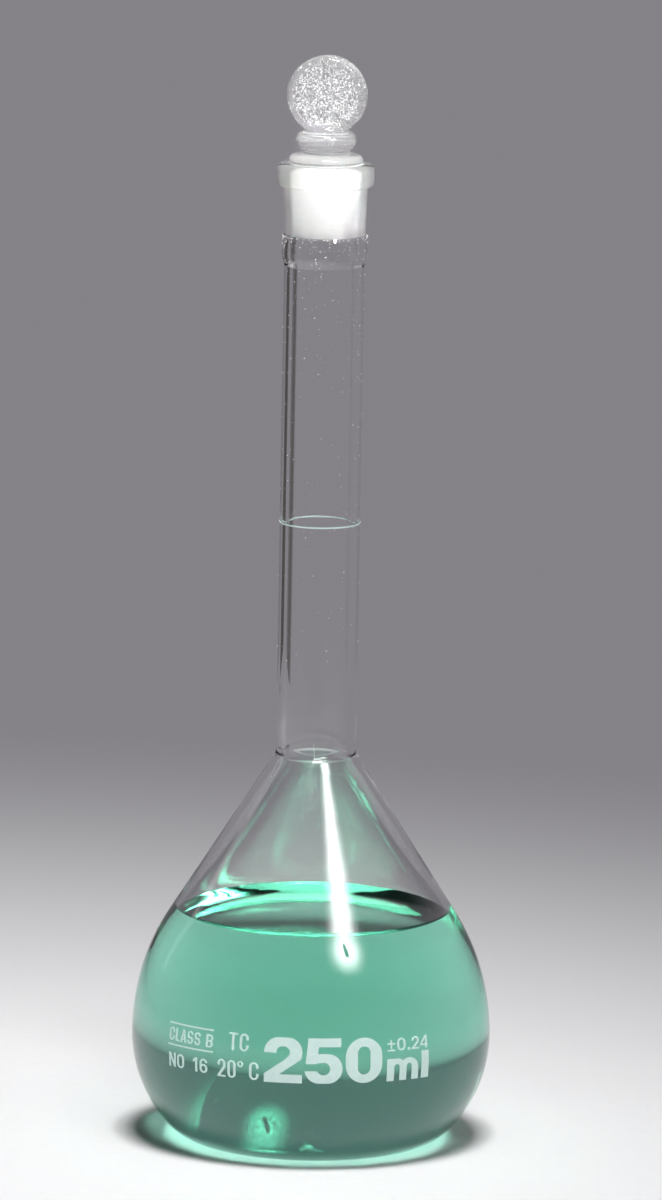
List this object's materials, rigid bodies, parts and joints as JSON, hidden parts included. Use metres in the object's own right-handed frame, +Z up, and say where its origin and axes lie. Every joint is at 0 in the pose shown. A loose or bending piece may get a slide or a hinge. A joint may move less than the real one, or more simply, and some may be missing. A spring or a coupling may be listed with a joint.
{
  "type": "volumetric flask",
  "caption": "Glass volumetric flask with a pear-shaped bulb, a long narrow neck with a ring mark, a ground-in disc stopper and green solution in the bulb.",
  "frame": {"origin": "centre of the flat ring that the flask stands on", "axes": "+Z up along the neck's axis, -Y to the front, where the numerals face, +X to the right"},
  "size_m": [0.0798, 0.0799, 0.2431],
  "materials": {
    "clear_glass": "polished",
    "ground_glass": "matte",
    "stopper_glass": "polished",
    "green_solution": "gloss",
    "white_enamel": "satin"
  },
  "bodies": {
    "flask": {"bulb": "clear_glass", "neck_tube": "clear_glass", "joint_socket": "ground_glass", "solution": "green_solution", "graduation_ring": "white_enamel", "capacity_numerals": "white_enamel", "capacity_unit": "white_enamel", "tolerance_mark": "white_enamel", "calibration_mark": "white_enamel", "temperature_mark": "white_enamel", "class_mark": "white_enamel", "stopper_size_mark": "white_enamel"},
    "stopper": {"stopper": "stopper_glass"}
  },
  "joints": [
    {"name": "stopper_lift", "type": "slide", "parent": "flask", "child": "stopper", "axis": [0, 0, 1], "range_m": [0, 0.03]}
  ]
}
